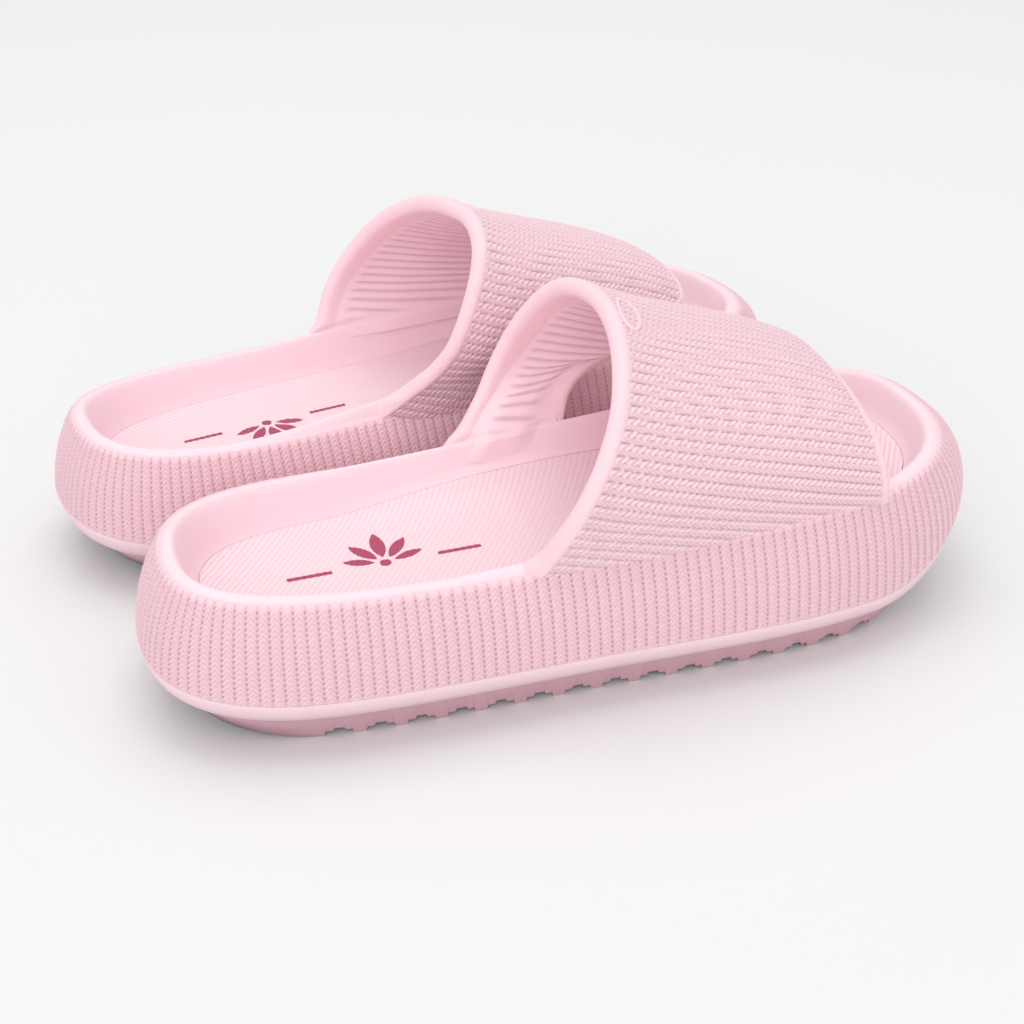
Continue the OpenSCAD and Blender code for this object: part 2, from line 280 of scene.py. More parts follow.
def place(points, side):
    """Millimetres about a slide's middle to metres in the frame, mirrored and turned for the left."""
    p = np.array(points, float)
    if side == "left":
        p[..., 0] *= -1
        c, s = math.cos(LEFT_YAW), math.sin(LEFT_YAW)
        x, y = p[..., 0].copy(), p[..., 1].copy()
        p[..., 0] = x * c - y * s + LEFT_OFFSET[0]
        p[..., 1] = x * s + y * c + LEFT_OFFSET[1]
    p[..., 0] += RIGHT_AT[0]
    p[..., 1] += RIGHT_AT[1]
    return p * MM


def volume(points, faces):
    """Six times the signed volume of a closed mesh of quads, which is positive when faces look out."""
    a, b, c, d = (points[faces[:, k]] for k in range(4))
    return np.einsum("ij,ij->", a, np.cross(b, c)) + np.einsum("ij,ij->", a, np.cross(c, d))


def skin(name, side, rings, looped=False, painted_shade=None, material=None):
    """A smooth closed mesh over rings (m, n, 3), with poles unless looped, facing out."""
    m, n = rings.shape[:2]
    points = place(rings.reshape(-1, 3), side)
    quads = skin_faces(m, n, looped)
    caps = np.zeros((0, 3), int)
    if not looped:
        poles = np.stack([points[:n].mean(0), points[-n:].mean(0)])
        points = np.concatenate([points, poles])
        i = np.arange(n)
        first = np.stack([np.full(n, m * n), (i + 1) % n, i], -1)
        last = np.stack([np.full(n, m * n + 1), (m - 1) * n + i, (m - 1) * n + (i + 1) % n], -1)
        caps = np.concatenate([first, last])
    cap_quads = np.concatenate([caps, caps[:, :1]], 1)
    if volume(points, np.concatenate([quads, cap_quads])) < 0:
        quads, caps = quads[:, ::-1], caps[:, ::-1]
    mesh = bpy.data.meshes.new(name)
    mesh.vertices.add(len(points))
    mesh.vertices.foreach_set("co", points.astype(np.float32).ravel())
    corners = np.concatenate([quads.ravel(), caps.ravel()])
    starts = np.concatenate([
        np.arange(len(quads)) * 4,
        len(quads) * 4 + np.arange(len(caps)) * 3,
    ])
    mesh.loops.add(len(corners))
    mesh.loops.foreach_set("vertex_index", corners.astype(np.int32))
    mesh.polygons.add(len(starts))
    mesh.polygons.foreach_set("loop_start", starts.astype(np.int32))
    mesh.update(calc_edges=True)
    mesh.polygons.foreach_set("use_smooth", np.ones(len(starts), bool))
    if painted_shade is not None:
        values = np.zeros(len(points), np.float32)
        values[:m * n] = painted_shade.ravel()
        mesh.attributes.new("painted_shade", "FLOAT", "POINT").data.foreach_set("value", values)
    mesh.validate()
    piece = bpy.data.objects.new(name, mesh)
    bpy.context.scene.collection.objects.link(piece)
    if material is not None:
        mesh.materials.append(material)
    print(name, len(quads) * 2 + len(caps), "triangles")
    return piece


def finish_piece(piece, side, nodes=()):
    """Ties a finished piece to its slide's body and hides the model's nodes that it stands for."""
    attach(piece, side + "_slipper")
    if nodes:
        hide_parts(*[side + "_" + node for node in nodes])
    return piece


# %% [markdown]
# ## Foam finishes
# The slides are EVA, a closed-cell foam moulded in a textured steel tool. It is matte with a faint
# satin where the tool was polished, and light sinks a little way into it, which softens every edge.
# All parts are the same dyed foam. An attribute on each piece, 0 on the pattern's top and 1 in its
# hollows, paints shade into the colour where the foam is hidden from the light: in the hollows of the
# knit, the braid, the ribs and the grooves, in the crease above the tread, under the tread, and as a
# painted shadow at its lifted ends.

# %% Materials
def linear(code):
    """sRGB hex to linear colour."""
    c = np.array([int(code[k:k + 2], 16) for k in (1, 3, 5)]) / 255
    c = np.where(c <= 0.04045, c / 12.92, ((c + 0.055) / 1.055) ** 2.4)
    return (*c, 1)


def node(tree, kind, links=(), **settings):
    """Adds a node, sets its properties and sockets by name, and links (output, input name) pairs."""
    made = tree.nodes.new(kind)
    for key, value in settings.items():
        if hasattr(made, key):
            setattr(made, key, value)
        else:
            made.inputs[key.replace("_", " ")].default_value = value
    for output, name in links:
        tree.links.new(output, made.inputs[name])
    return made


def foam(name, top, hollow, roughness, grain=0.25, mottle=0.5, painted_shade=False):
    """Moulded EVA foam: a soft mottle, a fine tool grain, and, where asked, painted shade in the
    hollows.
    """
    material = bpy.data.materials.new(name)
    material.use_nodes = True
    tree = material.node_tree
    shader = tree.nodes["Principled BSDF"]
    where = node(tree, "ShaderNodeTexCoord")
    # slow drift of the dye, over 40 mm
    drift = node(tree, "ShaderNodeTexNoise", [(where.outputs["Object"], "Vector")],
                 Scale=25.0, Detail=3.0, Roughness=0.6)
    shade = node(tree, "ShaderNodeMix", [(drift.outputs["Fac"], "Factor")], data_type="RGBA")
    shade.inputs["A"].default_value = linear(top)
    mixed = np.array(linear(top)) * (1 - 0.12 * mottle) + np.array(linear(hollow)) * 0.12 * mottle
    shade.inputs["B"].default_value = tuple(mixed)
    colour = shade.outputs["Result"]
    # painted shade: where the attribute is 1, the colour turns to the hollow colour
    if painted_shade:
        depth = node(tree, "ShaderNodeAttribute", attribute_name="painted_shade")
        painted_shade_mix = node(tree, "ShaderNodeMix", [(depth.outputs["Fac"], "Factor")], data_type="RGBA")
        tree.links.new(colour, painted_shade_mix.inputs["A"])
        painted_shade_mix.inputs["B"].default_value = linear(hollow)
        colour = painted_shade_mix.outputs["Result"]
    tree.links.new(colour, shader.inputs["Base Color"])
    # tool grain, 0.5 mm across, drawn a little coarse so that it shows
    fine = node(tree, "ShaderNodeTexNoise", [(where.outputs["Object"], "Vector")],
                Scale=1800.0, Detail=2.0, Roughness=0.5)
    rough = node(tree, "ShaderNodeMapRange", [(fine.outputs["Fac"], "Value")])
    rough.inputs["To Min"].default_value = roughness - 0.05
    rough.inputs["To Max"].default_value = roughness + 0.07
    tree.links.new(rough.outputs["Result"], shader.inputs["Roughness"])
    pressed = node(tree, "ShaderNodeBump", [(fine.outputs["Fac"], "Height")],
                   Strength=grain, Distance=0.0002)
    tree.links.new(pressed.outputs["Normal"], shader.inputs["Normal"])
    shader.inputs["IOR"].default_value = 1.45
    shader.inputs["Subsurface Weight"].default_value = 0.12
    shader.inputs["Subsurface Radius"].default_value = (1.0, 0.55, 0.6)
    shader.inputs["Subsurface Scale"].default_value = 0.0015
    shader.inputs["Sheen Weight"].default_value = 0.06
    shader.inputs["Sheen Roughness"].default_value = 0.5
    return material


# wall, pressed with a knit: matte, rosier than the smooth foam, with painted shade in its pinholes and
# hollows
KNIT = foam("knit pressed eva foam", "#fed5de", "#b38290", 0.62, painted_shade=True)
# strap, pressed with a braid: the same foam, a little paler, with painted shade in its gutters
BRAID = foam("braid pressed eva foam", "#fedbe3", "#b98895", 0.62, painted_shade=True)
# collar, trim and ring from a polished part of the tool: a faint satin sheen and hardly any grain
SMOOTH = foam("smooth moulded eva foam", "#fbd6de", "#eebfca", 0.5, grain=0.12)
# footbed, a softer and paler foam: its ribs catch the light, and their valleys get painted shade
PAD = foam("ribbed eva footbed", "#fde6ec", "#e3b8c3", 0.58, painted_shade=True)
# lining, grooved: matte, with painted shade in its grooves
GROOVED = foam("grooved eva lining", "#fddee6", "#c9a1ab", 0.6, painted_shade=True)
# rim, bowl and bead: satin like the collar, with painted shade in the crease above the tread
BODY = foam("smooth eva foam with painted shade in its crease", "#fddfe7", "#a98490", 0.5,
            grain=0.12, mottle=0.2, painted_shade=True)
# tread, a denser foam, rougher, in a deeper greyer pink that is painted shade; painted shadow at its
# ends, painted shade in the grooves
SOLE = foam("tread eva foam", "#cfa5b0", "#5f4c54", 0.66, grain=0.35, mottle=0.15, painted_shade=True)


def ink_film():
    """Raspberry screen ink, matte and slightly uneven in coverage."""
    material = bpy.data.materials.new("raspberry screen ink")
    material.use_nodes = True
    tree = material.node_tree
    shader = tree.nodes["Principled BSDF"]
    where = node(tree, "ShaderNodeTexCoord")
    cover = node(tree, "ShaderNodeTexNoise", [(where.outputs["Object"], "Vector")],
                 Scale=900.0, Detail=3.0)
    ink = node(tree, "ShaderNodeMix", [(cover.outputs["Fac"], "Factor")], data_type="RGBA")
    ink.inputs["A"].default_value = linear("#a93a5c")
    ink.inputs["B"].default_value = linear("#b84a6c")
    tree.links.new(ink.outputs["Result"], shader.inputs["Base Color"])
    shader.inputs["Roughness"].default_value = 0.55
    shader.inputs["IOR"].default_value = 1.5
    return material


INK = ink_film()
print("finishes", [m.name for m in (KNIT, BRAID, SMOOTH, PAD, GROOVED, BODY, SOLE, INK)])

# %% [markdown]
# ## The sole's smooth body
# One skin makes everything smooth on the midsole: the underside, the bead that rolls out from the
# parting line, the hidden core behind the knit, the rim and the bowl down to the footbed's recess. Its
# profile is a list of rings, each an inset and a height, and a finer curve runs through the list.

# %% Sole body
def curve_at(points, u):
    """The Catmull-Rom curve through a list of points or rings, at any array of u from 0 to 1."""
    p = np.asarray(points, float)
    p = np.concatenate([2 * p[:1] - p[1:2], p, 2 * p[-1:] - p[-2:-1]])
    s = np.clip(u, 0, 1) * (len(points) - 1)
    i = np.minimum(s.astype(int), len(points) - 2)
    f = (s - i).reshape(s.shape + (1,) * (p.ndim - 1))
    a, b, c, d = p[i], p[i + 1], p[i + 2], p[i + 3]
    return (2 * b + (c - a) * f + (2 * a - 5 * b + 4 * c - d) * f**2
            + (3 * b - a - 3 * c + d) * f**3) / 2


def ring(t, d, z):
    """The outline at inset d and height z."""
    return np.concatenate([inset(t, np.full_like(t, d)), np.asarray(z)[:, None]], 1)


def wall_ring(t, k, out=0.0):
    """A ring of the wall: k = 0 at the widest line, 1 at the rim, moved outward by out."""
    y = outline(t)[:, 1]
    d = -WALL_BULGE * (1 - k) + RIM_INSET * np.clip(k, 0, None) ** 2.4 - out
    z = (WIDE_Z + lift(y)) * (1 - k) + rim_height(y) * k
    return np.concatenate([inset(t, np.broadcast_to(d, t.shape)), z[:, None]], 1)


def shrunk(t, d, s, z):
    """The ring at inset d shrunk by s about the middle, at the height z(x, y, share)."""
    p = inset(t, np.full_like(t, d)) * s
    return np.concatenate([p, z(p[:, 0], p[:, 1], np.full_like(t, s))[:, None]], 1)


def sole_body(side):
    """Rings from the underside's middle round the bead, up behind the knit, over the rim and down."""
    t, _ = even_angles(420, 0.0)
    y = outline(t)[:, 1]
    under = lift(y)
    raised = shoulder(t)
    top = rim_height(y) + RIM_ROUND + raised
    pad = inset(t, np.full_like(t, PAD_INSET))
    edge = footbed_height(pad[:, 0], pad[:, 1], 1.0)

    def bowl(d, k):
        return ring(t, d, top + (edge - top) * k)

    flat = [shrunk(t, PARTING_INSET, s, lambda x, y, s: PARTING_Z + lift(y)) for s in (0.3, 0.65)]
    crease = [
        ring(t, PARTING_INSET + 0.9, PARTING_Z + under),
        ring(t, PARTING_INSET, PARTING_Z + 0.5 + under),
    ]
    bead = curve_at([
        ring(t, PARTING_INSET, PARTING_Z + 0.5 + under),
        ring(t, PARTING_INSET - 2.6, PARTING_Z + 1.4 + under),
        ring(t, PARTING_INSET - 5.0, PARTING_Z + 3.6 + under),
        ring(t, PARTING_INSET - 6.1, PARTING_Z + 6.4 + under),
        ring(t, -WALL_BULGE - 0.1, PARTING_Z + 9.2 + under),
        ring(t, -WALL_BULGE + 0.7, WIDE_Z + 0.2 + under),
    ], np.linspace(0, 1, 26))[1:]
    behind = [wall_ring(t, k, -1.2) for k in (0.02, 0.3, 0.6, 0.85)]
    over = curve_at([
        wall_ring(t, 0.97, -0.5),
        ring(t, RIM_INSET + 1.4, rim_height(y) + 0.25 + 0.12 * raised),
        ring(t, RIM_INSET + 2.5, top - 0.15 - 0.55 * raised),
        ring(t, RIM_INSET + 4.0, top - 0.15 * raised),
        bowl(RIM_INSET + 5.3, 0.1),
        bowl(RIM_INSET + 6.7, 0.4),
        bowl(RIM_INSET + 8.2, 0.76),
        bowl(RIM_INSET + 9.4, 0.94),
        bowl(PAD_INSET - 0.3, 1.0),
    ], np.linspace(0, 1, 44))
    recess = [ring(t, PAD_INSET, edge - 0.35), ring(t, PAD_INSET, edge - PAD_T)]
    floor = [
        shrunk(t, PAD_INSET, s, lambda x, y, s: footbed_height(x, y, s) - PAD_T - 0.02)
        for s in (0.8, 0.5, 0.25)
    ]
    rings = np.stack([*flat, *crease, *bead, *behind, *over, *recess, *floor])
    # painted shade: full over the hidden underside and in the crease above the tread, fading up the bead
    painted_shade_mask = np.zeros(rings.shape[:2])
    painted_shade_mask[:4] = 1
    painted_shade_mask[4:4 + len(bead)] = np.linspace(0.9, 0, len(bead))[:, None] ** 1.5
    piece = skin(side + "_sole_body", side, rings, painted_shade=painted_shade_mask, material=BODY)
    return finish_piece(piece, side, ["midsole"])


# %% [markdown]
# ## The knit wall
# The pressed knit is stocking stitch: upright columns of small V shapes, with a pinhole between one
# stitch and the next at the edge of each column. The height at a point depends on where it is across
# its column and how far up it is, and the two legs of a V are the same slanted ridge, mirrored. The
# columns run out in small points under the smooth rim. The wall is a ring closed behind, so it is a
# solid band let into the sole's body.

# %% Knit wall
COLUMNS = 186
COLUMN_SAMPLES = 6
STITCH_PITCH = 1.62
KNIT_DEPTH = 0.62
WALL_ROWS = 84
STITCH_SLANT = 1.05                      # rows that a leg climbs from mid-column to the edge
HOLE_DEPTH, HOLE_PHASE = 1.1, 0.55       # a pinhole's depth, and where it lies between two rows
KNIT_LOW, KNIT_HIGH = -0.045, 1.015      # where the band starts and ends, as shares of the wall
LEAN_IN, LEAN_UP = 34.0, 16.0            # how the band goes on past the wall's top, per share
print("knit columns", round(girth / COLUMNS, 2), "mm wide, stitches", STITCH_PITCH, "mm high")


def knit_height(across, rows):
    """Two slanted ridges meeting in a V, a valley at the column's edge, and pinholes along it."""
    f = across - np.floor(across)
    reach = np.abs(2 * f - 1)                       # 0 mid-column, 1 at its edges
    ridge = 0.5 + 0.5 * np.cos(2 * np.pi * (rows - STITCH_SLANT * reach))
    body = np.sqrt(np.clip(1 - reach**4, 0, 1))
    middle = 1 - 0.2 * np.exp(-(reach / 0.22) ** 2)
    spaced = (0.5 + 0.5 * np.cos(2 * np.pi * (rows - HOLE_PHASE))) ** 1.5
    hole = np.exp(-((1 - reach) / 0.24) ** 2) * spaced
    return ridge * body * middle + 0.25 * (1 - body) - HOLE_DEPTH * hole


def knit_base(t, k, out=0.0):
    """The wall's ring up to k = 1, and above it a ring that leans in over the rim."""
    over = max(k - 1, 0.0)
    base = wall_ring(t, min(k, 1.0), out)
    edge = np.full_like(t, RIM_INSET - out)
    if over:
        base[:, :2] += inset(t, edge + LEAN_IN * over) - inset(t, edge)
    base[:, 2] += over * LEAN_UP + 0.1 * shoulder(t) * over / (KNIT_HIGH - 1)
    return base


def knit_wall(side):
    """Even columns round the wall and rows from the bead to the rim, closed by three rings behind."""
    n = COLUMNS * COLUMN_SAMPLES
    t, _ = even_angles(n, -3.0)
    k = np.linspace(KNIT_LOW, KNIT_HIGH, WALL_ROWS)
    base = np.stack([knit_base(t, q) for q in k])
    step = np.linalg.norm(np.diff(base, axis=0), axis=2)
    up = np.concatenate([np.zeros((1, n)), np.cumsum(step, 0)])
    rows = (up[-1] - up) / STITCH_PITCH                # counted down from the rim
    across = np.arange(n)[None] / COLUMN_SAMPLES + 0 * rows
    h = knit_height(across, rows)
    reach = np.abs(2 * (across % 1) - 1)
    # each column ends in a point under the rim, and the lowest row melts into the bead
    fade_top = np.clip((rows - 0.1 - 0.9 * (1 - reach)) / 0.8, 0, 1)
    fade_low = np.clip(up / 0.6, 0, 1)
    h = h * fade_top * fade_low
    along = np.gradient(base, axis=0)
    around = np.roll(base, -1, 1) - np.roll(base, 1, 1)
    normal = np.cross(along, around)
    normal /= np.linalg.norm(normal, axis=2, keepdims=True)
    normal *= np.sign(np.einsum("jik,jik->", normal[..., :2], base[..., :2]))
    shown = base + normal * (KNIT_DEPTH * h)[..., None]
    hidden = np.stack([wall_ring(t, q, -2.2) for q in (0.97, 0.5, 0.03)])
    rings = np.concatenate([shown, hidden])
    # painted shade: darker where the knit sinks, in the pinholes and between the stitches
    painted_shade = np.concatenate([np.clip(0.34 - 0.6 * h, 0, 1) * fade_top * fade_low, np.zeros((3, n))])
    piece = skin(side + "_knit_wall", side, rings, looped=True, painted_shade=painted_shade, material=KNIT)
    return finish_piece(piece, side, ["midsole"])


# %% [markdown]
# ## The outsole
# The tread plate is set back from the wall. Its underside has a stepped groove every 12.4 mm, cut right
# through to the edge, and its back edge is rolled up. Booleans could cut the grooves, but they leave
# slivers. The plate is carried from heel to toe as closed cross-sections instead, with stations crowded
# at the groove sides, so that the steps stay crisp. An attribute paints shade over the underside,
# deepest in the grooves, and a painted shadow on the lowest edges and the underside towards the heel and
# the toe, where they lift off the floor.

# %% Outsole
GROOVE_PITCH, GROOVES = 12.4, 15
GROOVE_STEPS = ((8.4, 1.3), (3.4, 2.3))      # width and depth of the two steps
END_SHADOW_FROM, END_SHADOW_RUN = 88, 30               # the painted shadow at the ends starts this far from the middle and darkens
print("grooves", GROOVES, "at", GROOVE_PITCH, "mm")


def side_x(y, side_sign, d):
    """x where the ring at inset d meets y, on the outer (+1) or the inner (-1) side."""
    t = np.linspace(0.0, np.pi, 3001) * side_sign
    p = inset(t, np.full_like(t, d))
    return np.interp(-y, -p[:, 1], p[:, 0])


def groove_depth(y):
    """How far the underside is cut away at y: two nested steps with slightly sloped sides."""
    away = np.abs((y / GROOVE_PITCH) - np.round(y / GROOVE_PITCH)) * GROOVE_PITCH
    cut = np.zeros_like(y)
    before = 0.0
    for width, depth in GROOVE_STEPS:
        cut += (depth - before) * np.clip((width / 2 - away) / 0.3 + 0.5, 0, 1)
        before = depth
    return np.where(np.abs(y) < (GROOVES / 2) * GROOVE_PITCH, cut, 0)


def outsole(side):
    """Closed loops across the plate: bottom, outer wall, top, inner wall, one per station."""
    centres = (np.arange(GROOVES) - (GROOVES - 1) / 2) * GROOVE_PITCH
    offsets = [s * (w / 2 + e) for w, _ in GROOVE_STEPS for s in (-1, 1) for e in (-0.2, 0.2)]
    marks = (centres[:, None] + np.array(offsets)[None]).ravel()
    tip = HALF - BASE_INSET
    ends = 100 + (tip - 100) * (1 - (1 - np.linspace(0, 1, 24)) ** 2)
    stations = np.concatenate([marks, np.linspace(-100, 100, 81), ends, -ends])
    stations = np.unique(np.round(stations, 3))
    stations = stations[np.abs(stations) < tip - 0.02]
    share = stations / tip
    f = np.linspace(0, 1, 12)
    loops = []
    low_l, low_r = side_x(stations, -1, BASE_INSET), side_x(stations, 1, BASE_INSET)
    high_y = share * (HALF - PARTING_INSET)
    high_l, high_r = side_x(high_y, -1, PARTING_INSET), side_x(high_y, 1, PARTING_INSET)
    bottom_z = tread_lift(share * HALF) + groove_depth(stations)
    top_z = lift(share * HALF) + PARTING_Z + 0.1
    for w in f:
        loops.append([low_l + (low_r - low_l) * w, stations, bottom_z])
    for w in (0.06, 0.35, 0.65, 0.94):
        loops.append([low_r + (high_r - low_r) * w, stations + (high_y - stations) * w,
                      bottom_z + (top_z - bottom_z) * w])
    for w in f[::-1]:
        loops.append([high_l + (high_r - high_l) * w, high_y, top_z])
    for w in (0.94, 0.65, 0.35, 0.06):
        loops.append([low_l + (high_l - low_l) * w, stations + (high_y - stations) * w,
                      bottom_z + (top_z - bottom_z) * w])
    rings = np.stack([np.stack(p, -1) for p in loops], 1)
    # painted shade: a little over the underside, full in the grooves
    painted_shade_mask = np.zeros(rings.shape[:2])
    painted_shade_mask[:, :len(f)] = 0.25 + 0.75 * np.clip(groove_depth(stations), 0, 1)[:, None]
    # painted shadow on the lowest rings of both side walls and on the underside, towards the lifted heel
    # and toe
    painted_end_shadow = np.clip((np.abs(stations) - END_SHADOW_FROM) / END_SHADOW_RUN, 0, 1)[:, None]
    for low_edge in ([len(f), len(f) + 1], [-1, -2]):
        painted_shade_mask[:, low_edge] = painted_end_shadow * [0.9, 0.45]
    painted_shade_mask[:, :len(f)] = np.maximum(painted_shade_mask[:, :len(f)], painted_end_shadow)
    piece = skin(side + "_tread_plate", side, rings, painted_shade=painted_shade_mask, material=SOLE)
    bpy.context.view_layer.objects.active = piece
    piece.data.set_sharp_from_angle(angle=math.radians(32))
    return finish_piece(piece, side, ["outsole"])


# %% [markdown]
# ## The footbed
# The pad is a thin insert with fine ribs running slantwise across the foot, which let water out. The
# real ribs are about 1.4 mm apart. They are drawn 1.8 mm apart, so that they still show. Rows of the
# grid run from the toe to the heel, and each row crosses from the inner to the outer edge, so the
# samples stay even and catch the ribs everywhere.

# %% Footbed
RIB_PITCH = 1.8
RIB_WAY = np.array([0.58, 0.815])        # across the ribs
RIB_RISE = 0.16
print("ribs", RIB_PITCH, "mm apart,", RIB_RISE, "mm high")


def rib_height(x, y):
    """A rounded wave across the ribs."""
    return 0.5 + 0.5 * np.cos(2 * np.pi * (x * RIB_WAY[0] + y * RIB_WAY[1]) / RIB_PITCH)


def pad_top(x, y):
    """The footbed's height with its ribs, which stop just inside the edge."""
    share = edge_share(x, y)
    ribbed = np.clip((0.985 - share) / 0.02, 0, 1)
    rounded = -0.5 * np.clip((share - 0.985) / 0.015, 0, 1) ** 2
    return footbed_height(x, y, np.minimum(share, 1)) + RIB_RISE * rib_height(x, y) * ribbed + rounded


def footbed(side):
    """Closed loops across the pad: the ribbed top from inner to outer edge, and back underneath."""
    rows, cols = 520, 150
    t = np.linspace(0, np.pi, 4001)[1:-1]
    right = inset(t, np.full_like(t, PAD_INSET + 0.25))
    left = inset(-t, np.full_like(t, PAD_INSET + 0.25))
    run = np.concatenate([[0], np.cumsum(np.hypot(np.diff(right[:, 1] + left[:, 1]) / 2, 0.12))])
    pick = np.interp(np.linspace(0, run[-1], rows), run, np.arange(len(t)))
    a = np.stack([np.interp(pick, np.arange(len(t)), left[:, k]) for k in (0, 1)], -1)
    b = np.stack([np.interp(pick, np.arange(len(t)), right[:, k]) for k in (0, 1)], -1)
    f = 0.5 - 0.5 * np.cos(np.pi * np.linspace(0, 1, cols))
    f = 0.35 * f + 0.65 * np.linspace(0, 1, cols)
    top = a[:, None] * (1 - f)[None, :, None] + b[:, None] * f[None, :, None]
    z = pad_top(top[..., 0], top[..., 1])
    g = np.linspace(1, 0, 8)
    low = a[:, None] * (1 - g)[None, :, None] + b[:, None] * g[None, :, None]
    low_z = footbed_height(low[..., 0], low[..., 1], edge_share(low[..., 0], low[..., 1])) - PAD_T + 0.05
    rings = np.concatenate([
        np.concatenate([top, z[..., None]], -1), np.concatenate([low, low_z[..., None]], -1),
    ], 1)
    # painted shade: darker in the valleys between the ribs
    painted_shade = np.concatenate([0.5 * (1 - rib_height(top[..., 0], top[..., 1])), np.zeros(low_z.shape)], 1)
    piece = skin(side + "_footbed_pad", side, rings, painted_shade=painted_shade, material=PAD)
    return finish_piece(piece, side, ["footbed"])


# %% [markdown]
# ## The strap's shape
# The strap is a sheet of foam between two edge curves. The rear edge arches over the instep. The front
# edge is lower and further forward, and on the inner side it is cut back low. A few listed points
# carry each curve. Straight lines join them, swelling out at the sides, and along the crest they dip
# a little behind the collar and rise a little before the toes.

# %% Strap surface
STRAP_REAR = np.array([
    [44.5, -27, 43], [47.2, -23, 49], [51.5, -15, 65], [47.5, -5, 81],
    [36.5, 3.8, 94.5], [16, 11, 105], [-9, 14.5, 107.8], [-28, 11, 105.5],
    [-39, 5.5, 97.5], [-45, -2, 84.5], [-46, -8.5, 72], [-42.5, -15, 62],
    [-37, -24, 53], [-33, -34, 45],
], float)
STRAP_FRONT = np.array([
    [45.5, 88.5, 42], [47, 87.5, 50], [47.5, 86.5, 57], [43, 86.5, 64],
    [32, 88, 70.5], [12, 89, 76.5], [-12, 89.5, 78.5], [-30, 90, 75.5],
    [-41, 86, 70.5], [-46, 70, 68], [-46, 47, 67.5], [-43.5, 27, 66],
    [-39, 11.5, 58], [-35, 6, 42],
], float)
CREST = 6 / 13                    # where u crosses the crest
CREST_BOW, CREST_WAVE = 0.4, 5.5  # the crest's rise, and its dip behind the collar and swell in front
SIDE_SWELL = 2.0
SHELL_T, LINING_T = 3.4, 2.1
STRAP_T = SHELL_T + LINING_T


def strap_face(u, v):
    """Straight lines between the edges, a bow along the crest and a swell at the sides."""
    u, v = np.broadcast_arrays(u, v)
    straight = curve_at(STRAP_REAR, u) * (1 - v)[..., None] + curve_at(STRAP_FRONT, u) * v[..., None]
    middle = 4 * v * (1 - v)
    swell = SIDE_SWELL * middle * np.cos(np.pi * u) ** 3
    bow = (CREST_BOW + CREST_WAVE * (v - 0.5)) * middle * np.sin(np.pi * u) ** 2
    return straight + np.stack([swell, np.zeros_like(bow), bow], -1)


def strap_axes(u, v):
    """Unit vectors on the strap: forward along it, across it and straight out of it."""
    forward = strap_face(u, v + 0.02) - strap_face(u, v - 0.02)
    across = strap_face(np.minimum(u + 0.01, 1), v) - strap_face(np.maximum(u - 0.01, 0), v)
    forward /= np.linalg.norm(forward, axis=-1, keepdims=True)
    out = np.cross(forward, across)
    out /= np.linalg.norm(out, axis=-1, keepdims=True)
    return forward, across, out


def even_along(edge, count):
    """The values of u that lie evenly spaced along an edge curve, from the arc length's inverse."""
    fine = np.linspace(0, 1, 3001)
    run = np.linalg.norm(np.diff(curve_at(edge, fine), axis=0), axis=1)
    length = np.concatenate([[0], np.cumsum(run)])
    return np.interp(np.linspace(0, length[-1], count), length, fine)


def strap_grid(nu, nv):
    """u spaced evenly along the rear edge, and v evenly from the rear edge to the front one."""
    return even_along(STRAP_REAR, nu)[:, None], np.linspace(0, 1, nv)[None]


def run_forward(face):
    """How far each point is from the rear edge, measured along its own line of the grid."""
    along = np.linalg.norm(np.diff(face, axis=1), axis=2)
    return np.concatenate([np.zeros((len(face), 1)), np.cumsum(along, 1)], 1)


def girth_from_crest(points, u):
    """Arc length from the crest round the strap's slice at the point's own y."""
    y = np.linspace(-50, 95, 146)[None]
    rear, front = curve_at(STRAP_REAR, u), curve_at(STRAP_FRONT, u)
    v = (y - rear[..., 1]) / (front[..., 1] - rear[..., 1])
    slices = rear * (1 - v)[..., None] + front * v[..., None]
    step = np.hypot(np.diff(slices[..., 0], axis=0), np.diff(slices[..., 2], axis=0))
    run = np.concatenate([np.zeros((1, y.size)), np.cumsum(step, 0)])
    crest = np.abs(u[:, 0] - CREST).argmin()
    girth = run[crest] - run
    at = np.clip(points[..., 1] + 50, 0, 144.999)
    low = at.astype(int)
    row = np.arange(len(u))[:, None]
    return girth[row, low] * (1 - at + low) + girth[row, low + 1] * (at - low)


# %% [markdown]
# ## The braided shell
# The outside is pressed with rows of slanted strands that run from the collar to the front edge. Two
# neighbouring strands lean opposite ways, so each row is a line of arrowheads pointing at the heel.
# Rows are counted by the distance from the crest round a straight slice across the foot, which keeps
# them parallel and the same width, and lets the sole cut them off at the bottom.

# %% Strap shell
ROW_PITCH, STROKE_PITCH = 3.95, 2.05
BRAID_DEPTH = 0.8
STRAND_SLANT = 1.2        # strokes that a strand climbs from mid-row to the row's edge
SLOPE_STRETCH = 1.035     # the strap slopes, so it is a little longer than its plan
print("braid rows", ROW_PITCH, "mm wide, strands", STROKE_PITCH, "mm apart")


def braid_height(rows, strokes):
    """Slanted rounded strands, mirrored about each row's middle, with a gutter between rows."""
    f = rows - np.floor(rows)
    reach = np.abs(2 * f - 1)                       # 0 mid-row, 1 at its edges
    strand = 0.5 + 0.5 * np.cos(2 * np.pi * (strokes - STRAND_SLANT * reach))
    crown = np.sqrt(np.clip(1 - (2 * reach - 1) ** 4, 0, 1))
    gutter = np.exp(-((1 - reach) / 0.16) ** 2)
    return (0.25 + 0.75 * strand**0.8) * crown - 0.35 * gutter


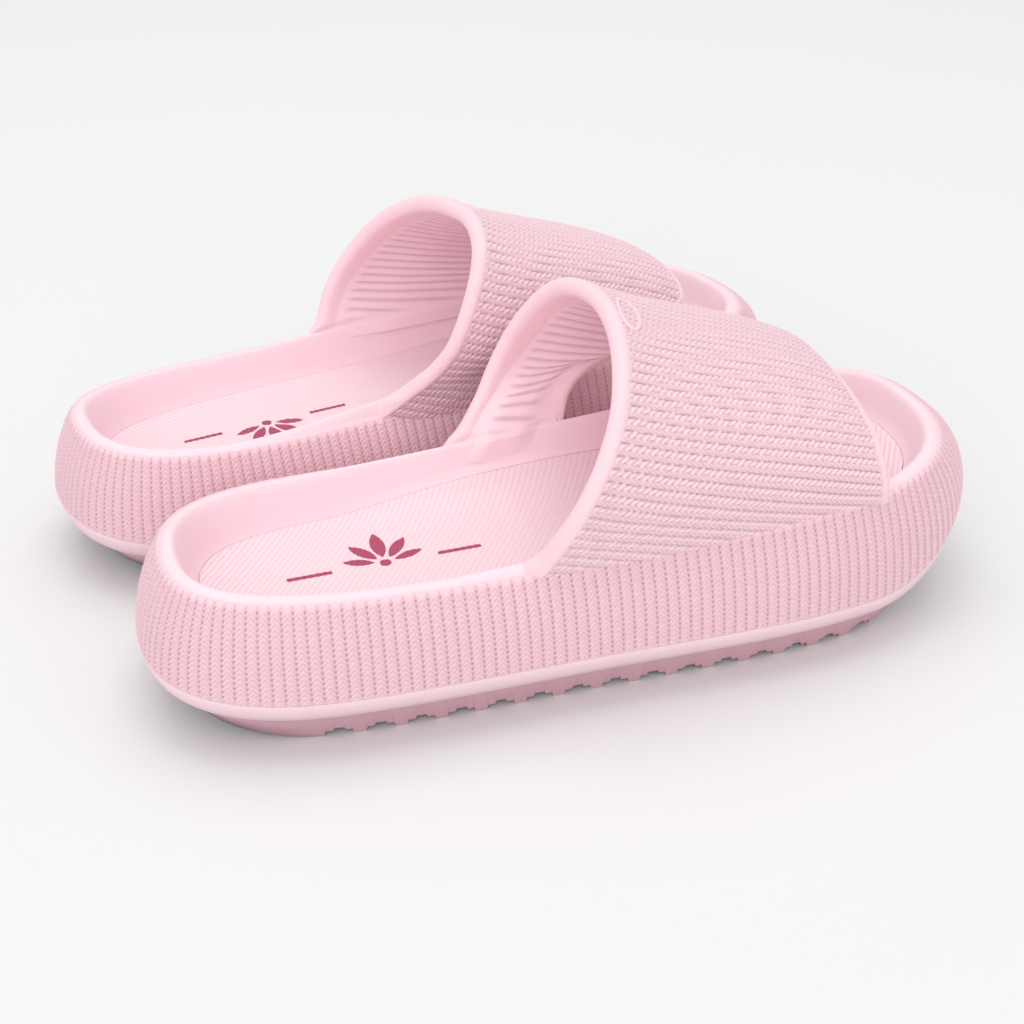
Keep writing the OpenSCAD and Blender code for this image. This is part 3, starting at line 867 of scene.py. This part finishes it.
def strap_shell(side):
    """The braided outer face, closed by a plain inner face that the lining covers."""
    nu, nv = 392, 240
    u, v = strap_grid(nu, nv)
    face = strap_face(u, v)
    _, _, out = strap_axes(u, v)
    rows = girth_from_crest(face, u) / ROW_PITCH
    strokes = face[..., 1] * SLOPE_STRETCH / STROKE_PITCH
    h = braid_height(rows, strokes)
    run = run_forward(face)
    fade = np.clip(run / 1.2, 0, 1) * np.clip((run[:, -1:] - run) / 1.2, 0, 1)
    shown = face + out * (BRAID_DEPTH * (h - 0.6) * fade)[..., None]
    w = np.linspace(1, 0, 5)[None]
    _, _, inward = strap_axes(u, w)
    hidden = strap_face(u, w) - inward * (SHELL_T - 0.02)
    rings = np.concatenate([shown, hidden], 1)
    # painted shade: darker in the gutters between the rows and between the strands
    painted_shade = np.concatenate([np.clip(0.6 - 0.85 * h, 0, 1) * fade, np.zeros((nu, 5))], 1)
    piece = skin(side + "_strap_shell", side, rings, painted_shade=painted_shade, material=BRAID)
    return finish_piece(piece, side, ["strap"])


# %% [markdown]
# ## The lining
# Under the shell lies a softer layer with long shallow grooves, a little over 4 mm apart, that let air
# past the foot. They start a short way in from the collar and fade out before the front edge. Counted
# round the slice alone, they would be cut off at the sole, and counted along the rear edge alone, they
# would fan out. The real ones lean between the two, so the count is a blend. At the bottom the layer
# follows the hollow curve above into the bowl, and its ends dip under the sole's skin.

# %% Lining
LINING_PITCH = 4.4
GROOVE_HALF, GROOVE_DEEP = 0.8, 0.55
REAR_PART, SLICE_PART = 0.45, 0.55           # the two ways of counting, blended
GROOVE_START, GROOVE_STOP = 6.5, 7.0         # mm in from the rear and from the front edge
print("lining grooves", LINING_PITCH, "mm apart")


def lining(side):
    """The grooved inner face, closed by a plain outer face against the shell."""
    nu, nv = 820, 56
    u, v = strap_grid(nu, nv)
    face = strap_face(u, v)
    _, _, out = strap_axes(u, v)
    rear = np.concatenate([[0], np.cumsum(np.linalg.norm(np.diff(face[:, 0], axis=0), axis=1))])
    rear = np.abs(rear - rear[np.abs(u[:, 0] - CREST).argmin()])[:, None]
    rows = (REAR_PART * rear + SLICE_PART * np.abs(girth_from_crest(face, u))) / LINING_PITCH
    f = np.abs(rows - np.round(rows)) * LINING_PITCH
    groove = np.exp(-(f / GROOVE_HALF) ** 2)
    run = run_forward(face)
    fade = np.clip((run - GROOVE_START) / 3, 0, 1)
    fade = fade * np.clip((run[:, -1:] - run - GROOVE_STOP) / 6, 0, 1)
    shown = face - out * STRAP_T
    ends = np.maximum(np.clip((v - 0.55) / 0.4, 0, 1), np.clip(1 - v / 0.3, 0, 1)) + 0 * u
    push, share = cove(shown, ends * ends * (3 - 2 * ends))
    fade = fade * np.clip(-share / 0.15, 0, 1)
    shown = shown + out * (GROOVE_DEEP * groove * fade)[..., None]
    shown[..., :2] += push
    w = np.linspace(1, 0, 4)[None]
    _, _, back = strap_axes(u, w)
    hidden = strap_face(u, w) - back * SHELL_T
    rings = np.concatenate([shown, hidden], 1)
    # painted shade: darker in the grooves
    painted_shade = np.concatenate([0.5 * groove * fade, np.zeros((nu, 4))], 1)
    piece = skin(side + "_strap_lining", side, rings, painted_shade=painted_shade, material=GROOVED)
    return finish_piece(piece, side, ["lining"])


# %% [markdown]
# ## The collar and the front trim
# The rear edge is rolled into a plump smooth bead, and the front edge into a thin one. Each is a round
# profile carried along the strap's edge. A bevelled curve would make the tube, but not its thin inner
# lip, which laps over the lining so that no gap shows, nor the collar's foot, which flares back along
# the rim before it dips under the sole's skin.

# %% Edge beads
BLEND_REACH = np.array([-1.0, -2.5, -4.0, -5.5, -6.5])     # the bead's thin inner lip, over the lining
BLEND_RISE = np.array([0.9, 0.6, 0.3, 0.1, -0.8])          # and how proud it stands there
FOOT_SHARE, FOOT_REACH = 2.6, 4.0       # how high up the bead's foot starts to spread, and how far, mm
COLLAR_W, COLLAR_PROUD = 3.4, 0.3       # how far it reaches past the edge, and stands over the faces
TRIM_W, TRIM_PROUD = 3.0, 0.1
print("collar", COLLAR_W, "mm, trim", TRIM_W, "mm")


def edge_bead(name, side, v, way, width, proud, node_name):
    """A half-round profile carried along the edge at v: outward by sin, through the thickness by cos."""
    u = even_along(STRAP_REAR if way < 0 else STRAP_FRONT, 320)
    at = np.full_like(u, v)
    forward, _, out = strap_axes(u, at)
    a = np.linspace(0, np.pi, 17)
    half = STRAP_T / 2 + proud
    reach = np.concatenate([width * np.sin(a) ** 0.85, BLEND_REACH, [-0.8]])
    depth = np.concatenate([STRAP_T / 2 - half * np.cos(a), STRAP_T + proud * BLEND_RISE, [0.3]])
    edge = strap_face(u, at)
    rings = (edge[:, None] + way * forward[:, None] * reach[None, :, None]
             - out[:, None] * depth[None, :, None])
    inner = np.clip((depth / STRAP_T - 0.45) / 0.5, 0, 1)[None]
    push, share = cove(rings, 1.0)
    rings[..., :2] += push * inner[..., None]
    if way < 0:
        foot = np.clip(1 + share * FOOT_SHARE, 0, 1) ** 3
        spread = np.clip(reach / width, 0, 1) * np.clip(depth / STRAP_T, 0, 1)
        rings[..., 1] -= foot * FOOT_REACH * spread[None]
    # whatever would still come out through the bowl goes back under it
    away, slope, inward, share = beside_bowl(rings)
    sunk = np.clip(share / 0.3, 0, 1) * np.clip(away - slope + 1.5, 0, None)
    rings[..., :2] -= inward * sunk[..., None]
    piece = skin(name, side, rings, material=SMOOTH)
    return finish_piece(piece, side, [node_name])


def collar(side):
    """The plump bead along the rear edge, which faces the heel."""
    return edge_bead(side + "_collar_bead", side, 0.0, -1, COLLAR_W, COLLAR_PROUD, "collar")


def front_trim(side):
    """The thin bead along the front edge, which faces the toes."""
    return edge_bead(side + "_front_bead", side, 1.0, 1, TRIM_W, TRIM_PROUD, "front_trim")


# %% [markdown]
# ## The printed motif
# A water lily between two bars is screen printed on the heel seat. Each petal is a grid in the shape
# of a lens, laid on the ribs a hair above them, so the ink follows the foam as real ink does.

# %% Print
PRINT_AT = (6.0, -62.0)
PETAL_GAP, PETAL_L = 3.4, 14.0
INK_T = 0.12
BAR_AT, BAR_HALF, BAR_W, SEED_R = 24, 7, 0.8, 1.8       # the two bars and the round seed
print("motif", 2 * (BAR_AT + BAR_HALF), "mm long")


def film(xy):
    """A closed film over a grid of places: the top on the ribs, the underside just below them."""
    x, y = xy[..., 0], xy[..., 1]
    z = pad_top(x, y)
    top = np.concatenate([xy, (z + INK_T)[..., None]], -1)
    low = np.concatenate([xy, (z - 0.1)[..., None]], -1)[:, ::-1]
    return np.concatenate([top, low], 1)


def petal_grid(length, angle):
    """A lens of two equal arcs, pointing along -x and turned by angle degrees."""
    r = length * 0.85
    off = math.sqrt(r * r - length * length / 4)
    s = np.linspace(-0.985, 0.985, 44) * length / 2
    half = np.sqrt(r * r - s * s) - off
    w = np.linspace(-1, 1, 14)
    x = -PETAL_GAP - length / 2 + s[:, None] + 0 * w
    y = half[:, None] * w
    a = math.radians(angle)
    return np.stack([x * math.cos(a) - y * math.sin(a), x * math.sin(a) + y * math.cos(a)], -1)


def printed(side):
    """Five petals, a seed and two bars, joined into one piece of ink."""
    shapes = [petal_grid(PETAL_L - abs(a) / 18, a) for a in (-72, -36, 0, 36, 72)]
    s, w = np.linspace(-1, 1, 40)[:, None], np.linspace(-1, 1, 8)[None]
    for end in (-1, 1):
        shapes.append(np.stack([BAR_W * w + 0 * s, end * BAR_AT + BAR_HALF * s + 0 * w], -1))
    q = np.linspace(-0.98, 0.98, 16)[:, None]
    chord = np.sqrt(1 - q * q)
    shapes.append(np.stack([SEED_R * q + 0 * w, SEED_R * chord * w], -1))
    made = []
    for k, shape in enumerate(shapes):
        xy = shape + np.array(PRINT_AT)
        made.append(skin(f"{side}_print_{k}", side, film(xy), material=INK))
    with bpy.context.temp_override(active_object=made[0], selected_editable_objects=made):
        bpy.ops.object.join()
    made[0].name = side + "_ink_motif"
    return finish_piece(made[0], side, ["print"])


# %% [markdown]
# ## The raised ring on the strap
# Just in front of the collar, on the crest, the mould leaves a small raised oval ring. It is a thin
# tube laid on the strap's face.

# %% Strap ring
RING_U, RING_V = 0.425, 0.058            # its centre on the strap
RING_ACROSS, RING_ALONG, RING_TURN = 0.028, 0.044, 0.008
TUBE_HALF, TUBE_RISE = 0.75, 0.5         # mm


def strap_ring(side):
    """An oval in u and v, turned a little, with a small flat loop carried round it."""
    a = np.linspace(0, 2 * np.pi, 72, endpoint=False)
    u = RING_U + RING_ACROSS * np.cos(a) + RING_TURN * np.sin(a)
    v = RING_V + RING_ALONG * np.sin(a)
    centre = strap_face(u, v)
    _, _, out = strap_axes(u, v)
    along = np.roll(centre, -1, 0) - np.roll(centre, 1, 0)
    along /= np.linalg.norm(along, axis=1, keepdims=True)
    wide = np.cross(along, out)
    b = np.linspace(0, 2 * np.pi, 10, endpoint=False)
    rings = (centre[:, None] + wide[:, None] * (TUBE_HALF * np.cos(b))[None, :, None]
             + out[:, None] * (0.05 + TUBE_RISE * np.sin(b))[None, :, None])
    piece = skin(side + "_strap_ring", side, rings, looped=True, material=SMOOTH)
    return finish_piece(piece, side)


# %% [markdown]
# ## The pair
# Every maker above works about one slide's own middle, so the second slide is the same list of calls.
# A linked copy with a negative scale would be shorter still, but its faces would be inside out and its
# place would not be in its mesh.

# %% Both slides
MAKERS = (sole_body, knit_wall, outsole, footbed, strap_shell, lining, collar, front_trim, printed,
          strap_ring)
pieces = [make(slide) for slide in ("right", "left") for make in MAKERS]
print(len(pieces), "pieces")

# %% [markdown]
# ## Floor and light
# The pair stands on a seamless white sweep. A wide soft light hangs overhead, a little behind and to
# the left, a weaker one fills in from the front, at the near side, and an even white surround lifts
# the shadows, so that only the gaps under the soles and the tunnels of the straps fall into shade.

# %% Floor and light
bpy.context.scene.view_settings.view_transform = "Standard"


def floor_sheet():
    """A large flat square, matte and near white."""
    mesh = bpy.data.meshes.new("floor")
    r = 3.0
    mesh.from_pydata([(-r, -r, 0), (r, -r, 0), (r, r, 0), (-r, r, 0)], [], [(0, 1, 2, 3)])
    sheet = bpy.data.objects.new("floor", mesh)
    bpy.context.scene.collection.objects.link(sheet)
    material = bpy.data.materials.new("matte white paper")
    material.use_nodes = True
    shader = material.node_tree.nodes["Principled BSDF"]
    shader.inputs["Base Color"].default_value = linear("#ebebeb")
    shader.inputs["Roughness"].default_value = 1.0
    shader.inputs["Specular IOR Level"].default_value = 0.0
    mesh.materials.append(material)


floor_sheet()

world = bpy.data.worlds.new("surround")
world.use_nodes = True
world.node_tree.nodes["Background"].inputs["Color"].default_value = (1, 1, 1, 1)
world.node_tree.nodes["Background"].inputs["Strength"].default_value = 0.765
bpy.context.scene.world = world


def soft_light(name, place_at, aim_at, size, watts):
    """A square area light at place_at, facing aim_at."""
    data = bpy.data.lights.new(name, "AREA")
    data.size = size
    data.energy = watts
    light = bpy.data.objects.new(name, data)
    light.location = place_at
    light.rotation_euler = (Vector(aim_at) - Vector(place_at)).to_track_quat("-Z", "Y").to_euler()
    bpy.context.scene.collection.objects.link(light)
    print(name, watts, "W")


soft_light("overhead", (-0.5, 0.1, 2.4), (0, 0, 0), 2.0, 18)
soft_light("front_fill", (1.5, -0.8, 1.0), (0, 0, 0.05), 1.6, 11)
